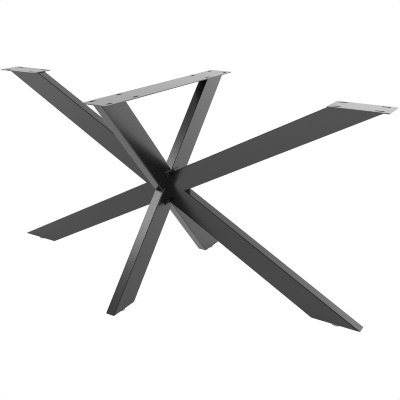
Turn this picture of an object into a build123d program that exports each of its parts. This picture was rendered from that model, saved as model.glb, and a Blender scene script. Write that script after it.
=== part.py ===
from build123d import *
from math import cos, radians, sin, tan
import os

# Steel base for a dining table.
# Four rectangular tubes cross at one hub: a short X across the table and a long X along it.
# The short X is one welded frame. Each half of the long X is an arm and a leg welded to a hub plate,
# and each hub plate is screwed to one flat side of the short X.
# One long plate joins the two upper ends of the short X, and each upper end of the long X has its own plate.
# Origin: on the floor, under the middle of the hub. X runs along the table, Y across it, Z up.

# Heights
TOP_HEIGHT = 720.0
GLIDE_HEIGHT = 7.5
PLATE_THICKNESS = 3.0
FOOT_PLATE_THICKNESS = 3.0
TUBE_TOP = TOP_HEIGHT - PLATE_THICKNESS
FOOT_TOP = GLIDE_HEIGHT + FOOT_PLATE_THICKNESS

# Long X, in the vertical plane through X
LONG_WIDTH = 78.6
LONG_THICKNESS = 37.2
LONG_PITCH = 28.14
LONG_CROSSING = 358.0

# Short X, in the vertical plane through Y
SHORT_WIDTH = 85.7
SHORT_THICKNESS = 35.4
SHORT_PITCH = 49.43
SHORT_CROSSING = 354.5

# Tube section
WALL = 2.0
CORNER_RADIUS = 3.0
TUBE_REACH = 1200.0

# Hub plates, and the four places of their screws
HUB_PLATE_WIDTH = 91.5
HUB_PLATE_HEIGHT = 121.0
HUB_PLATE_THICKNESS = 4.0
HUB_PLATE_CENTRE = 359.5
HUB_PLATE_CORNER = 3.0
HUB_SCREW_SPACING_ACROSS = 64.6
HUB_SCREW_SPACING_UP = 96.0

# Plates under the table top
LONG_PLATE_LENGTH = 760.7
LONG_PLATE_WIDTH = 91.5
END_PLATE_LENGTH = 180.0
END_PLATE_WIDTH = 92.5
END_PLATE_CENTRE = 676.2
PLATE_CORNER = 4.0

# Slots for the screws into the table top
SLOT_LENGTH = 28.0
SLOT_WIDTH = 9.0
SLOT_SPACING_ACROSS = 64.6
END_SLOT_SPACING = 125.8
END_SLOT_CENTRE = 672.7
LONG_PLATE_SLOT_SPACING = 128.3
LONG_PLATE_SLOT_CENTRE = 282.4

# M8 thread, its nuts and its clearance holes
THREAD_RADIUS = 4.0
THREAD_END_CHAMFER = 0.8
NUT_ACROSS_FLATS = 13.0
NUT_THICKNESS = 6.5
CLEARANCE_RADIUS = 4.5

# M8 button-head screws through the hub plates
SCREW_LENGTH = 16.0
SCREW_HEAD_RADIUS = 7.0
SCREW_HEAD_HEIGHT = 4.4
SCREW_HEAD_ROUND = 2.8
SOCKET_ACROSS_FLATS = 5.0
SOCKET_DEPTH = 2.6

# Glides: a nylon pad moulded round the head of an M8 stud, screwed home into a weld nut
GLIDE_RADIUS = 16.0
GLIDE_RIM_ROUND = 1.5
GLIDE_TOP_CHAMFER = 0.6
STUD_LENGTH = 26.0
STUD_HEAD_RADIUS = 8.0
STUD_HEAD_THICKNESS = 3.0
STUD_HEAD_COVER = 2.0


def save(shape, node):
    """Write one piece under its own name."""
    export_step(shape, f"parts/{node}.step")


# Tubes
def beam_plane(direction, pitch, crossing):
    """Cross-section plane of a beam that climbs along the horizontal direction given."""
    across, along = cos(radians(pitch)), sin(radians(pitch))
    axis = (direction[0] * across, direction[1] * across, along)
    width_way = (-direction[0] * along, -direction[1] * along, across)
    return Plane(origin=(0, 0, crossing), x_dir=width_way, z_dir=axis)


def solid_bar(plane, width, thickness, inset=0.0):
    """Straight bar through the hub with rounded corners, drawn in from its faces by inset."""
    outline = RectangleRounded(width - 2 * inset, thickness - 2 * inset, CORNER_RADIUS - inset)
    return extrude(plane * outline, amount=TUBE_REACH, both=True)


def tube(plane, width, thickness):
    """Straight rectangular hollow section through the hub, before its ends are cut."""
    return solid_bar(plane, width, thickness) - solid_bar(plane, width, thickness, WALL)


def keep_beyond(shape, point, way):
    """Cut a shape with a plane through the point and keep the side that way points to."""
    return split(shape, bisect_by=Plane(origin=point, z_dir=way), keep=Keep.TOP)


def keep_between(shape, low, high):
    """Cut a shape level at two heights and keep what lies between."""
    above = keep_beyond(shape, (0, 0, low), (0, 0, 1))
    return keep_beyond(above, (0, 0, high), (0, 0, -1))


def foot_offset(pitch, crossing):
    """Distance from the hub's axis to the middle of a foot's underside."""
    return (crossing - GLIDE_HEIGHT) / tan(radians(pitch))


def upright_cylinder(radius, height, base=0.0):
    """Round piece on the Z axis, standing at the height given."""
    standing = Cylinder(radius, height, align=(Align.CENTER, Align.CENTER, Align.MIN))
    return Pos(0, 0, base) * standing


# Long X: two arms and two legs, each pair mitred level with the crossing.
# Their inner ends are cut upright and welded to the hub plates.
def long_beam(side, rises):
    """One quarter of the long X. Side is 1 for right and -1 for left."""
    climb = (side, 0, 0) if rises else (-side, 0, 0)
    whole = tube(beam_plane(climb, LONG_PITCH, LONG_CROSSING), LONG_WIDTH, LONG_THICKNESS)
    inner_end = SHORT_THICKNESS / 2 + HUB_PLATE_THICKNESS
    outward = keep_beyond(whole, (side * inner_end, 0, 0), (side, 0, 0))
    if rises:
        return keep_between(outward, LONG_CROSSING, TUBE_TOP)
    return keep_between(outward, FOOT_TOP, LONG_CROSSING)


# Screwed joint at the hub
HUB_SCREW_PLACES = {
    f"{height}_{edge}": (across * HUB_SCREW_SPACING_ACROSS / 2, HUB_PLATE_CENTRE + up * HUB_SCREW_SPACING_UP / 2)
    for height, up in (("upper", 1), ("lower", -1))
    for edge, across in (("front", -1), ("back", 1))
}


def side_plane(side, out, y=0.0, z=0.0):
    """Upright plane that faces away from the hub, out from the short X's flat side by the distance given."""
    return Plane(origin=(side * (SHORT_THICKNESS / 2 + out), y, z), x_dir=(0, side, 0), z_dir=(side, 0, 0))


def drill_for_hub_screws(shape):
    """Cut the four clearance holes straight through along X."""
    reach = SHORT_THICKNESS + 2 * HUB_PLATE_THICKNESS
    for y, z in HUB_SCREW_PLACES.values():
        shape = shape - Pos(0, y, z) * Rot(0, 90, 0) * Cylinder(CLEARANCE_RADIUS, reach)
    return shape


def hub_plate(side):
    """Plate between the short X and one half of the long X."""
    outline = RectangleRounded(HUB_PLATE_WIDTH, HUB_PLATE_HEIGHT, HUB_PLATE_CORNER)
    blank = extrude(side_plane(side, 0, z=HUB_PLATE_CENTRE) * outline, amount=HUB_PLATE_THICKNESS)
    return drill_for_hub_screws(blank)


def button_screw():
    """Screw with its head on the XY plane and its shank below."""
    head = upright_cylinder(SCREW_HEAD_RADIUS, SCREW_HEAD_HEIGHT)
    crown = head.edges().filter_by(GeomType.CIRCLE).sort_by(Axis.Z)[-1]
    head = fillet(crown, SCREW_HEAD_ROUND)
    hexagon = RegularPolygon(SOCKET_ACROSS_FLATS / 2, 6, major_radius=False)
    socket = Pos(0, 0, SCREW_HEAD_HEIGHT - SOCKET_DEPTH) * extrude(hexagon, amount=SOCKET_DEPTH)
    shank = upright_cylinder(THREAD_RADIUS, SCREW_LENGTH, -SCREW_LENGTH)
    tip = shank.edges().filter_by(GeomType.CIRCLE).sort_by(Axis.Z)[0]
    return head - socket + chamfer(tip, THREAD_END_CHAMFER)


def weld_nut():
    """Hexagon nut that stands on the XY plane."""
    hexagon = RegularPolygon(NUT_ACROSS_FLATS / 2, 6, major_radius=False)
    return extrude(hexagon, amount=NUT_THICKNESS) - upright_cylinder(THREAD_RADIUS, NUT_THICKNESS)


# Short X: one tube runs through from the front foot to the back of the long plate.
# The other diagonal is two tubes cut to butt against the through tube's narrow faces.
def short_plane(climb_y):
    """Section plane of the short X's tube that climbs towards the back (1) or the front (-1)."""
    return beam_plane((0, climb_y, 0), SHORT_PITCH, SHORT_CROSSING)


def short_tube(climb_y):
    """One diagonal of the short X, cut level at both ends and drilled for the hub screws."""
    whole = tube(short_plane(climb_y), SHORT_WIDTH, SHORT_THICKNESS)
    return drill_for_hub_screws(keep_between(whole, FOOT_TOP, TUBE_TOP))


def butted_beam(side):
    """Half of the other diagonal: 1 for the front arm above the through tube, -1 for the back leg."""
    away = Vector(0, -sin(radians(SHORT_PITCH)), cos(radians(SHORT_PITCH))) * side
    face = Vector(0, 0, SHORT_CROSSING) + away * (SHORT_WIDTH / 2)
    return keep_beyond(short_tube(-1), face, away)


# Plates that carry the table top
def plate(length, width):
    """Flat plate with its top face at the full height, its length along X."""
    outline = RectangleRounded(length, width, PLATE_CORNER)
    return Pos(0, 0, TUBE_TOP) * extrude(outline, amount=PLATE_THICKNESS)


def slot_cutters(centre, spacing):
    """Four slots along X, in a rectangle round a centre on the X axis."""
    slot = Pos(0, 0, TUBE_TOP) * extrude(SlotOverall(SLOT_LENGTH, SLOT_WIDTH), amount=PLATE_THICKNESS)
    return [
        Pos(centre + along * spacing / 2, across * SLOT_SPACING_ACROSS / 2, 0) * slot
        for along in (-1, 1)
        for across in (-1, 1)
    ]


def end_plate(side):
    """Plate on one arm of the long X, flush with the arm's inner corner."""
    blank = Pos(END_PLATE_CENTRE, 0, 0) * plate(END_PLATE_LENGTH, END_PLATE_WIDTH)
    slotted = blank - slot_cutters(END_SLOT_CENTRE, END_SLOT_SPACING)
    return slotted if side > 0 else mirror(slotted, about=Plane.YZ)


def long_plate():
    """Plate across both arms of the short X, with four slots near each end."""
    cutters = slot_cutters(LONG_PLATE_SLOT_CENTRE, LONG_PLATE_SLOT_SPACING)
    cutters += slot_cutters(-LONG_PLATE_SLOT_CENTRE, LONG_PLATE_SLOT_SPACING)
    return Rot(0, 0, 90) * (plate(LONG_PLATE_LENGTH, LONG_PLATE_WIDTH) - cutters)


# Feet
def foot_plate(plane, width, thickness, centre):
    """Plate that closes a leg's level end, with its edges ground flush with the tube."""
    slice_of_bar = keep_between(solid_bar(plane, width, thickness), GLIDE_HEIGHT, FOOT_TOP)
    hole = upright_cylinder(CLEARANCE_RADIUS, FOOT_PLATE_THICKNESS, GLIDE_HEIGHT)
    return slice_of_bar - Pos(*centre, 0) * hole


def stud():
    """Steel stud with a flat round head near the floor and its thread pointing up."""
    head = upright_cylinder(STUD_HEAD_RADIUS, STUD_HEAD_THICKNESS, STUD_HEAD_COVER)
    shank_base = STUD_HEAD_COVER + STUD_HEAD_THICKNESS
    shank = upright_cylinder(THREAD_RADIUS, STUD_LENGTH - shank_base, shank_base)
    tip = shank.edges().filter_by(GeomType.CIRCLE).sort_by(Axis.Z)[-1]
    return head + chamfer(tip, THREAD_END_CHAMFER)


def glide_pad():
    """Nylon pad on the floor, moulded round the head of its stud."""
    pad = upright_cylinder(GLIDE_RADIUS, GLIDE_HEIGHT)
    rims = pad.edges().filter_by(GeomType.CIRCLE).sort_by(Axis.Z)
    pad = fillet(rims[0], GLIDE_RIM_ROUND)
    rims = pad.edges().filter_by(GeomType.CIRCLE).sort_by(Axis.Z)
    pad = chamfer(rims[-1], GLIDE_TOP_CHAMFER)
    return pad - stud()


os.makedirs("parts", exist_ok=True)

for name, side in (("right", 1), ("left", -1)):
    save(long_beam(side, rises=True), f"{name}_arm")
    save(long_beam(side, rises=False), f"{name}_leg")
    save(end_plate(side), f"{name}_end_plate")
    save(hub_plate(side), f"{name}_hub_plate")
    for place, (y, z) in HUB_SCREW_PLACES.items():
        on_plate = side_plane(side, HUB_PLATE_THICKNESS, y, z)
        inside_wall = Plane(origin=(side * (SHORT_THICKNESS / 2 - WALL), y, z), x_dir=(0, 1, 0), z_dir=(-side, 0, 0))
        save(on_plate.location * button_screw(), f"{name}_{place}_screw")
        save(inside_wall.location * weld_nut(), f"{name}_{place}_nut")

save(short_tube(1), "through_beam")
save(butted_beam(1), "front_arm")
save(butted_beam(-1), "back_leg")
save(long_plate(), "long_plate")

long_reach = foot_offset(LONG_PITCH, LONG_CROSSING)
short_reach = foot_offset(SHORT_PITCH, SHORT_CROSSING)
feet = {
    "right": ((long_reach, 0), (-1, 0, 0)),
    "left": ((-long_reach, 0), (1, 0, 0)),
    "front": ((0, -short_reach), (0, 1, 0)),
    "back": ((0, short_reach), (0, -1, 0)),
}
for name, (centre, climb) in feet.items():
    if name in ("right", "left"):
        section = (beam_plane(climb, LONG_PITCH, LONG_CROSSING), LONG_WIDTH, LONG_THICKNESS)
    else:
        section = (short_plane(climb[1]), SHORT_WIDTH, SHORT_THICKNESS)
    save(foot_plate(*section, centre), f"{name}_foot_plate")
    save(Pos(*centre, 0) * glide_pad(), f"{name}_glide_pad")
    save(Pos(*centre, 0) * stud(), f"{name}_glide_stud")
    save(Pos(*centre, FOOT_TOP) * weld_nut(), f"{name}_foot_nut")
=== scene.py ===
import math

import bpy
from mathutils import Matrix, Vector


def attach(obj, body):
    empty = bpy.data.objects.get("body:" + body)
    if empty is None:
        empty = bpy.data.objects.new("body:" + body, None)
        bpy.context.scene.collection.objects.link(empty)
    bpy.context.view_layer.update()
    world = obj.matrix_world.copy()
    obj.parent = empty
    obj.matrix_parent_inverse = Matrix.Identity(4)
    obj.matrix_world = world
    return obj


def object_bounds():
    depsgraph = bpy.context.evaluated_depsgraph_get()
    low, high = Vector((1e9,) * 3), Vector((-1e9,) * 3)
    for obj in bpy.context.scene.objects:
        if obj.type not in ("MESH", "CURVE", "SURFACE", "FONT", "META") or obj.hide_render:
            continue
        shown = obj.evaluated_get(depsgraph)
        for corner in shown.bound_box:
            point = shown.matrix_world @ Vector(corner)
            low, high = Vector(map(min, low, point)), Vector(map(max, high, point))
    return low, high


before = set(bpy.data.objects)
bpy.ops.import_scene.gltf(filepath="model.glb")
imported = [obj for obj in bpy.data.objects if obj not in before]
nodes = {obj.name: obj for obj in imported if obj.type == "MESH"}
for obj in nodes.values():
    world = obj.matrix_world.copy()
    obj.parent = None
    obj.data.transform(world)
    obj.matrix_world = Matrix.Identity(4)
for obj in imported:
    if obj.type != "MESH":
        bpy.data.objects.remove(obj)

MM = 0.001
UP = Vector((0, 0, 1))
cad_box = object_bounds()
scene = bpy.context.scene


# Shader graph helpers
class Value:
    """One socket of a shader graph; Python arithmetic on it adds Math nodes."""

    def __init__(self, graph, socket):
        self.graph = graph
        self.socket = socket

    def math(self, operation, *values):
        return self.graph.node("ShaderNodeMath", {"operation": operation}, *values)

    def __add__(self, other):
        return self.math("ADD", self, other)

    __radd__ = __add__

    def __sub__(self, other):
        return self.math("SUBTRACT", self, other)

    def __rsub__(self, other):
        return self.math("SUBTRACT", other, self)

    def __mul__(self, other):
        return self.math("MULTIPLY", self, other)

    __rmul__ = __mul__

    def at_most(self, other):
        return self.math("MINIMUM", self, other)

    def at_least(self, other):
        return self.math("MAXIMUM", self, other)

    def from_0_to_1(self):
        return self.at_least(0.0).at_most(1.0)


class Graph:
    """Node tree of a material or the world, emptied for a new finish."""

    def __init__(self, owner):
        owner.use_nodes = True
        self.tree = owner.node_tree
        self.tree.nodes.clear()

    def node(self, kind, settings=None, *values, output=0, **named):
        """Adds a node, makes its settings, then fills its sockets by order and by name."""
        made = self.tree.nodes.new(kind)
        for key, setting in (settings or {}).items():
            if key == "stops":
                self.set_stops(made.color_ramp, setting)
            else:
                setattr(made, key, setting)
        for index, value in enumerate(values):
            self.fill(made.inputs[index], value)
        for key, value in named.items():
            self.fill(made.inputs[key.replace("_", " ")], value)
        return Value(self, made.outputs[output]) if made.outputs else None

    def fill(self, socket, value):
        """Links a socket to a value of the graph, or gives it a plain one."""
        if isinstance(value, Value):
            self.tree.links.new(value.socket, socket)
        else:
            socket.default_value = value

    def set_stops(self, ramp, stops):
        """Fills a ramp with stops of a place and a grey level."""
        while len(ramp.elements) < len(stops):
            ramp.elements.new(1.0)
        for element, (place, level) in zip(ramp.elements, stops):
            element.position = place
            element.color = (level, level, level, 1.0)

    def ramp(self, value, *stops):
        """Level that a value gives on a ramp."""
        return self.node("ShaderNodeValToRGB", {"stops": stops}, value)

    def mix_colour(self, mask, first, second):
        """Blend of two colours by a mask."""
        made = self.tree.nodes.new("ShaderNodeMix")
        made.data_type = "RGBA"
        for name, value in (("Factor_Float", mask), ("A_Color", first), ("B_Color", second)):
            socket = next(s for s in made.inputs if s.identifier == name)
            self.fill(socket, value)
        return Value(self, next(s for s in made.outputs if s.identifier == "Result_Color"))

    def noise(self, where, scale, detail=2.0, roughness=0.5):
        """Cloudy pattern from 0 to 1 at a scale in features per metre."""
        settings = {"Scale": scale, "Detail": detail, "Roughness": roughness}
        return self.node("ShaderNodeTexNoise", None, Vector=where, **settings)

    def bump(self, height, pattern):
        """Surface direction of a pattern whose height, from its 0 to its 1, is in metres."""
        return self.node("ShaderNodeBump", None, Strength=1.0, Distance=height, Height=pattern)

    def place_in_object(self):
        return self.node("ShaderNodeTexCoord", output="Object")

    def rays(self, kind):
        """1 for the rays of a kind, and 0 for the others."""
        return self.node("ShaderNodeLightPath", output=f"Is {kind} Ray")


def grey(level, warmth=0.0):
    """Opaque near-grey colour; warmth shifts it from blue to red."""
    return (level * (1 + warmth), level, level * (1 - warmth), 1.0)


def new_material(name):
    """Empty material, its graph, and a place in the object."""
    material = bpy.data.materials.new(name)
    graph = Graph(material)
    return material, graph, graph.place_in_object()


def finish_material(graph, **inputs):
    """Ends a graph in a Principled shader."""
    shader = graph.node("ShaderNodeBsdfPrincipled", None, **inputs)
    graph.node("ShaderNodeOutputMaterial", None, Surface=shader)


# Finishes
PAINT_DARK = grey(0.0035, -0.015)
PAINT_LIGHT = grey(0.0045, -0.015)
PAINT_IOR = 1.58
PAINT_ROUGHNESS = 0.18
PAINT_GRAIN = 0.008 * MM
# Dull coat of the slot walls: its low gloss paints shade into the slots
SLOT_SHADE_IOR = 1.3
SLOT_SHADE_ROUGHNESS = 0.7
SLOT_SHADE_GRAIN = 0.03 * MM
NYLON_DARK = grey(0.37)
NYLON_LIGHT = grey(0.43)
NYLON_IOR = 1.53
NYLON_ROUGHNESS = 0.5
NYLON_GRAIN = 0.02 * MM
ZINC_DARK = grey(0.52, 0.01)
ZINC_LIGHT = grey(0.66, 0.01)
ZINC_ROUGHNESS = 0.28
OXIDE_DARK = grey(0.004)
OXIDE_LIGHT = grey(0.01, 0.04)
OXIDE_IOR = 1.5
OXIDE_ROUGHNESS = 0.5
OXIDE_GRAIN = 0.004 * MM


def powder_coat():
    """Satin black powder coat: a fine grain on a faint orange peel, with a tone and gloss that drift."""
    material, graph, where = new_material("satin_powder_coat")
    drift = graph.noise(where, scale=7.0, detail=3.0)
    cloud = graph.noise(where, scale=45.0, detail=4.0, roughness=0.6)
    peel = graph.noise(where, scale=420.0, detail=3.0, roughness=0.55)
    grain = graph.noise(where, scale=1900.0)
    tone = graph.mix_colour(drift * 0.6 + cloud * 0.4, PAINT_DARK, PAINT_LIGHT)
    gloss = PAINT_ROUGHNESS + drift * 0.04 + cloud * 0.03
    bump = graph.bump(PAINT_GRAIN, peel * 0.4 + grain)
    finish_material(graph, Base_Color=tone, Roughness=gloss, IOR=PAINT_IOR, Normal=bump)
    return material


def slot_shade_coat():
    """Powder coat on the walls of the slots: rough and dull, so that it reflects little and paints shade
    into the slots.
    """
    material, graph, where = new_material("slot_shade_powder_coat")
    grain = graph.noise(where, scale=1500.0, detail=3.0)
    tone = graph.mix_colour(grain, PAINT_DARK, PAINT_LIGHT)
    bump = graph.bump(SLOT_SHADE_GRAIN, grain)
    dullness = SLOT_SHADE_ROUGHNESS + grain * 0.1
    finish_material(graph, Base_Color=tone, Roughness=dullness, IOR=SLOT_SHADE_IOR, Normal=bump)
    return material


def nylon():
    """Matt grey nylon with a faint moulded grain."""
    material, graph, where = new_material("moulded_nylon")
    cloud = graph.noise(where, scale=120.0, detail=3.0)
    grain = graph.noise(where, scale=2500.0)
    tone = graph.mix_colour(cloud, NYLON_DARK, NYLON_LIGHT)
    bump = graph.bump(NYLON_GRAIN, grain)
    dullness = NYLON_ROUGHNESS + cloud * 0.08
    finish_material(graph, Base_Color=tone, Roughness=dullness, IOR=NYLON_IOR, Normal=bump)
    return material


def zinc_plate():
    """Bright zinc on the studs and nuts, dulled in patches."""
    material, graph, where = new_material("zinc_plate")
    patch = graph.noise(where, scale=300.0, detail=4.0, roughness=0.6)
    tone = graph.mix_colour(patch, ZINC_DARK, ZINC_LIGHT)
    dullness = ZINC_ROUGHNESS + patch * 0.16
    finish_material(graph, Base_Color=tone, Metallic=1.0, Roughness=dullness)
    return material


def black_oxide():
    """Blackened steel of the hub screws, a little worn and oily."""
    material, graph, where = new_material("black_oxide")
    patch = graph.noise(where, scale=260.0, detail=4.0, roughness=0.6)
    grain = graph.noise(where, scale=3000.0)
    tone = graph.mix_colour(patch, OXIDE_DARK, OXIDE_LIGHT)
    bump = graph.bump(OXIDE_GRAIN, grain)
    dullness = OXIDE_ROUGHNESS + patch * 0.15
    finish_material(graph, Base_Color=tone, Roughness=dullness, IOR=OXIDE_IOR, Normal=bump)
    return material


PAINT = powder_coat()
SLOT_SHADE_PAINT = slot_shade_coat()
NYLON = nylon()
ZINC = zinc_plate()
BLACKENED = black_oxide()

# The walls of the slots lie farther inside a plate's outline than this
PLATE_MARGIN = 2.0 * MM
# A face counts as upright when its direction rises by less than this
UPRIGHT = 0.5


def finish_of(node):
    """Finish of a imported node, by the kind of piece that its name ends in."""
    if node.endswith("_glide_pad"):
        return NYLON
    if node.endswith(("_glide_stud", "_nut")):
        return ZINC
    if node.endswith("_screw"):
        return BLACKENED
    return PAINT


def dress(node):
    """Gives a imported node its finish."""
    mesh = nodes[node].data
    mesh.materials.clear()
    mesh.materials.append(finish_of(node))


def shade_slots(node):
    """Gives the upright faces inside a plate's outline the dull coat that paints shade into the slots."""
    mesh = nodes[node].data
    mesh.materials.append(SLOT_SHADE_PAINT)
    shade_index = len(mesh.materials) - 1
    xs, ys = ([vertex.co[axis] for vertex in mesh.vertices] for axis in (0, 1))
    for face in mesh.polygons:
        x, y = face.center.x, face.center.y
        inside = min(x - min(xs), max(xs) - x, y - min(ys), max(ys) - y) > PLATE_MARGIN
        if inside and abs(face.normal.z) < UPRIGHT:
            face.material_index = shade_index


for name in nodes:
    dress(name)
# Painted shade: the slot walls of the top plates get the dull coat
for name in ("long_plate", "right_end_plate", "left_end_plate"):
    shade_slots(name)


# Weld beads under the top plates, with the same paint as the steel
BEAD_LEG = 3.0 * MM
BEAD_SINK = 0.15 * MM
BEAD_BELLY = 0.42
BEAD_POINTS = 7
RIPPLE_PITCH = 1.8 * MM
RIPPLE_DEPTH = 0.05
RIPPLE_CURVE = 0.5
STEPS_PER_RIPPLE = 5
END_FADE = 2.5 * MM
END_SIZE = 0.1
ON_PLANE = 0.02 * MM


def bead_scale(run, length):
    """Size of a bead's section at a place along it: round at its start and stop."""
    from_end = min(1.0, min(run, length - run) / END_FADE)
    return END_SIZE + (1 - END_SIZE) * math.sqrt(1 - (1 - from_end) ** 2)


def bead_section(run, one_way, other_way):
    """Points across a bead, from face to face, with the curved ripples that a weld pool leaves."""
    for index in range(BEAD_POINTS):
        t = index / (BEAD_POINTS - 1)
        hump = 4 * t * (1 - t)
        ripple = 1 + RIPPLE_DEPTH * math.sin(math.tau * (run / RIPPLE_PITCH - RIPPLE_CURVE * hump))
        belly = (one_way + other_way) * (hump / 2 * BEAD_BELLY)
        yield (one_way * (1 - t) ** 2 + other_way * t ** 2 + belly) * ripple


def add_bead(vertices, faces, start, end, one_way, other_way):
    """Bead in the corner of two faces, rooted from start to end; the ways lie on the faces, away from it."""
    length = (end - start).length
    rings = round(length / RIPPLE_PITCH * STEPS_PER_RIPPLE)
    first = len(vertices)
    size = BEAD_POINTS + 1
    for ring in range(rings + 1):
        run = length * ring / rings
        root = start.lerp(end, ring / rings)
        leg = BEAD_LEG * bead_scale(run, length)
        vertices.append(root - (one_way + other_way) * BEAD_SINK)
        vertices.extend(root + place * leg for place in bead_section(run, one_way, other_way))
    for ring in range(rings):
        low = first + ring * size
        for index in range(size):
            after = (index + 1) % size
            faces.append((low + index, low + after, low + size + after, low + size + index))
    last = first + rings * size
    faces.append(tuple(range(first + size - 1, first - 1, -1)))
    faces.append(tuple(range(last, last + size)))


def add_weld(name, beads):
    """One piece that holds all the beads of a joint."""
    vertices, faces = [], []
    for bead in beads:
        add_bead(vertices, faces, *bead)
    mesh = bpy.data.meshes.new(name)
    mesh.from_pydata(vertices, [], faces)
    mesh.shade_smooth()
    mesh.materials.append(PAINT)
    piece = bpy.data.objects.new(name, mesh)
    scene.collection.objects.link(piece)
    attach(piece, "root")


def corners_of(node):
    """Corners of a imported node's mesh in the shared frame."""
    piece = nodes[node]
    return [piece.matrix_world @ vertex.co for vertex in piece.data.vertices]


def at_height(corners, height):
    """The corners that lie in a level plane."""
    return [corner for corner in corners if abs(corner.z - height) < ON_PLANE]


def weld_under_plate(name, node, outward, inner_bead):
    """Beads round the level top of a tube that climbs outwards: along its sides and across its slopes."""
    corners = corners_of(node)
    across = Vector((outward.y, outward.x, 0))
    top = at_height(corners, TUBE_TOP)
    inner, outer = (pick(corner.dot(outward) for corner in top) for pick in (min, max))
    left, right = (pick(corner.dot(across) for corner in top) for pick in (min, max))
    lowest = min(corner.z for corner in corners)
    outer_low = max(corner.dot(outward) for corner in at_height(corners, lowest))
    climb = (outward * (outer - outer_low) + UP * (TUBE_TOP - lowest)).normalized()

    def place(out, aside):
        return outward * out + across * aside + UP * TUBE_TOP

    beads = [
        (place(inner, left), place(outer, left), -across, -UP),
        (place(inner, right), place(outer, right), across, -UP),
        (place(outer, left), place(outer, right), outward, -climb),
    ]
    if inner_bead:
        beads.append((place(inner, left), place(inner, right), -outward, -climb))
    add_weld(name, beads)


TUBE_TOP = min(corner.z for corner in corners_of("long_plate"))
# The end plates are flush with their arms' inner corners, so nothing is welded there
weld_under_plate("right_end_plate_weld", "right_arm", Vector((1, 0, 0)), inner_bead=False)
weld_under_plate("left_end_plate_weld", "left_arm", Vector((-1, 0, 0)), inner_bead=False)
weld_under_plate("front_long_plate_weld", "front_arm", Vector((0, -1, 0)), inner_bead=True)
weld_under_plate("back_long_plate_weld", "through_beam", Vector((0, 1, 0)), inner_bead=True)


# Camera
SENSOR = 36.0
PHOTO_PIXELS = 400
FOCAL_PIXELS = 610.2
# The photo is a crop, so the lens points above and left of its middle
LENS_AXIS_PIXEL = (193.67, 179.22)
CAMERA_PLACE = (1.1719, -1.7164, 1.0829)
CAMERA_TURN = math.radians(31.775)
CAMERA_DIP = math.radians(18.68)
CAMERA_REACH = 200.0


def add_camera():
    """Camera at the photo's place and angle, with its crop as a lens shift."""
    data = bpy.data.cameras.new("camera")
    data.sensor_width = SENSOR
    data.lens = FOCAL_PIXELS / PHOTO_PIXELS * SENSOR
    data.shift_x = 0.5 - LENS_AXIS_PIXEL[0] / PHOTO_PIXELS
    data.shift_y = LENS_AXIS_PIXEL[1] / PHOTO_PIXELS - 0.5
    data.clip_end = CAMERA_REACH
    camera = bpy.data.objects.new("camera", data)
    camera.rotation_euler = (math.pi / 2 - CAMERA_DIP, 0.0, CAMERA_TURN)
    camera.location = CAMERA_PLACE
    scene.collection.objects.link(camera)
    scene.camera = camera


# Floor; here and in the sky a level of 1 is as bright as white
FLOOR_HALF = 60.0
FLOOR_TONE = 0.8
FLOOR_NEAR = 1.03
FLOOR_FAR = 1.92
FLOOR_REACH = 4.5
FLOOR_RIGHT = 0.08
FLOOR_RIGHT_REACH = 0.5
SHADOW = 0.5
SHADOW_REACH = 0.25
SHADOW_SAMPLES = 4


def background_rays(graph):
    """1 for the rays that see the background: from the camera, off gloss or through glass."""
    return (graph.rays("Camera") + graph.rays("Glossy") + graph.rays("Transmission")).at_most(1.0)


def floor_glow(graph):
    """What gloss reflects from the floor: brighter away from the table, and darker close under it."""
    where = graph.place_in_object()
    distance = graph.node("ShaderNodeVectorMath", {"operation": "LENGTH"}, where, output="Value")
    away = (distance * (1 / FLOOR_REACH)).at_most(1.0)
    x = graph.node("ShaderNodeSeparateXYZ", None, where, output="X")
    right = (x * (1 / FLOOR_RIGHT_REACH)).from_0_to_1()
    glow = (away * (FLOOR_FAR - FLOOR_NEAR) + FLOOR_NEAR) * (right * FLOOR_RIGHT + 1.0)
    settings = {"samples": SHADOW_SAMPLES}
    open_to_sky = graph.node("ShaderNodeAmbientOcclusion", settings, Distance=SHADOW_REACH, output="AO")
    return glow * (open_to_sky * SHADOW + (1 - SHADOW))


def add_floor():
    """Pale floor: plain white to the camera, with its own glow in the reflections on the steel."""
    half = FLOOR_HALF
    mesh = bpy.data.meshes.new("floor")
    corners = [(-half, -half, 0), (half, -half, 0), (half, half, 0), (-half, half, 0)]
    mesh.from_pydata(corners, [], [(0, 1, 2, 3)])
    floor = bpy.data.objects.new("floor", mesh)
    scene.collection.objects.link(floor)
    material = bpy.data.materials.new("pale_floor")
    graph = Graph(material)
    level = graph.mix_colour(graph.rays("Camera"), floor_glow(graph), grey(1.0))
    seen = graph.node("ShaderNodeEmission", None, level, 1.0)
    plain = graph.node("ShaderNodeBsdfDiffuse", None, Color=grey(FLOOR_TONE))
    surface = graph.node("ShaderNodeMixShader", None, background_rays(graph), plain, seen)
    graph.node("ShaderNodeOutputMaterial", None, Surface=surface)
    mesh.materials.append(material)


# Sky: its low, middle and top parts fade into each other at heights given as the sine of the elevation
LOW_END = 0.46
MIDDLE_START = 0.6
MIDDLE_END = 0.66
TOP_START = 0.76
HORIZON_END = 0.1
HORIZON_GONE = 0.32
LOW_LEFT = 1.2
LOW_RIGHT = 3.25
MIDDLE_LEFT = 1.85
MIDDLE_RIGHT = 0.35
MIDDLE_FRONT = 1.15
TOP_GLOW = 0.48
HORIZON_FRONT = 0.9
RIGHT_RISE = 0.9
FRONT_RISE = 4.0
FILL = 1.1


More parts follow.
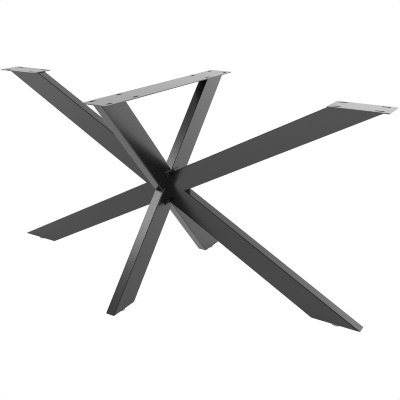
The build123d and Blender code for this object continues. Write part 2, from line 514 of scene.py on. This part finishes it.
def sky_glow(graph):
    """What gloss reflects of the sky: bright low down and on the right, dark overhead and in front."""
    way = graph.node("ShaderNodeTexCoord", output="Generated")
    x, y, z = (graph.node("ShaderNodeSeparateXYZ", None, way, output=axis) for axis in "XYZ")
    right = (x * RIGHT_RISE + 0.5).from_0_to_1()
    front = (y * -FRONT_RISE).from_0_to_1()
    back = 1.0 - front
    low = graph.ramp(z, (LOW_END, 1.0), (MIDDLE_START, 0.0))
    middle = graph.ramp(z, (LOW_END, 0.0), (MIDDLE_START, 1.0), (MIDDLE_END, 1.0), (TOP_START, 0.0))
    top = graph.ramp(z, (MIDDLE_END, 0.0), (TOP_START, 1.0))
    horizon = graph.ramp(z, (HORIZON_END, 1.0), (HORIZON_GONE, 0.0))
    low_glow = (right * (LOW_RIGHT - LOW_LEFT) + LOW_LEFT) * back
    middle_back = right * (MIDDLE_RIGHT - MIDDLE_LEFT) + MIDDLE_LEFT
    middle_glow = middle_back * back + front * (1.0 - right) * MIDDLE_FRONT
    return low * low_glow + middle * middle_glow + top * TOP_GLOW + horizon * front * HORIZON_FRONT


def light_world():
    """White to the camera, the sky glow in reflections, and an even fill."""
    world = bpy.data.worlds.new("studio")
    scene.world = world
    graph = Graph(world)
    backdrop = graph.mix_colour(graph.rays("Camera"), sky_glow(graph), grey(1.0))
    seen = graph.node("ShaderNodeBackground", None, backdrop, 1.0)
    fill = graph.node("ShaderNodeBackground", None, grey(FILL), 1.0)
    surface = graph.node("ShaderNodeMixShader", None, background_rays(graph), fill, seen)
    graph.node("ShaderNodeOutputWorld", None, Surface=surface)


# Lamp, as bright as the level given when seen in a mirror
KEY = 5.9
KEY_PLACE = (-1.65, -1.5, 2.43)
KEY_SIZE = 0.8


def add_key_lamp():
    """Square lamp, high on the left in front, that faces the hub."""
    data = bpy.data.lights.new("key_lamp", "AREA")
    data.size = KEY_SIZE
    data.energy = KEY * math.pi * KEY_SIZE ** 2
    lamp = bpy.data.objects.new("key_lamp", data)
    hub = Vector((0.0, 0.0, (cad_box[0][2] + cad_box[1][2]) / 2))
    lamp.location = KEY_PLACE
    lamp.rotation_euler = (hub - lamp.location).to_track_quat("-Z", "Y").to_euler()
    lamp.visible_camera = False
    scene.collection.objects.link(lamp)


add_camera()
add_floor()
light_world()
add_key_lamp()

scene.view_settings.view_transform = "Standard"
# The photo is sharp, so each pixel takes in little of its neighbours
scene.cycles.filter_width = 1.1
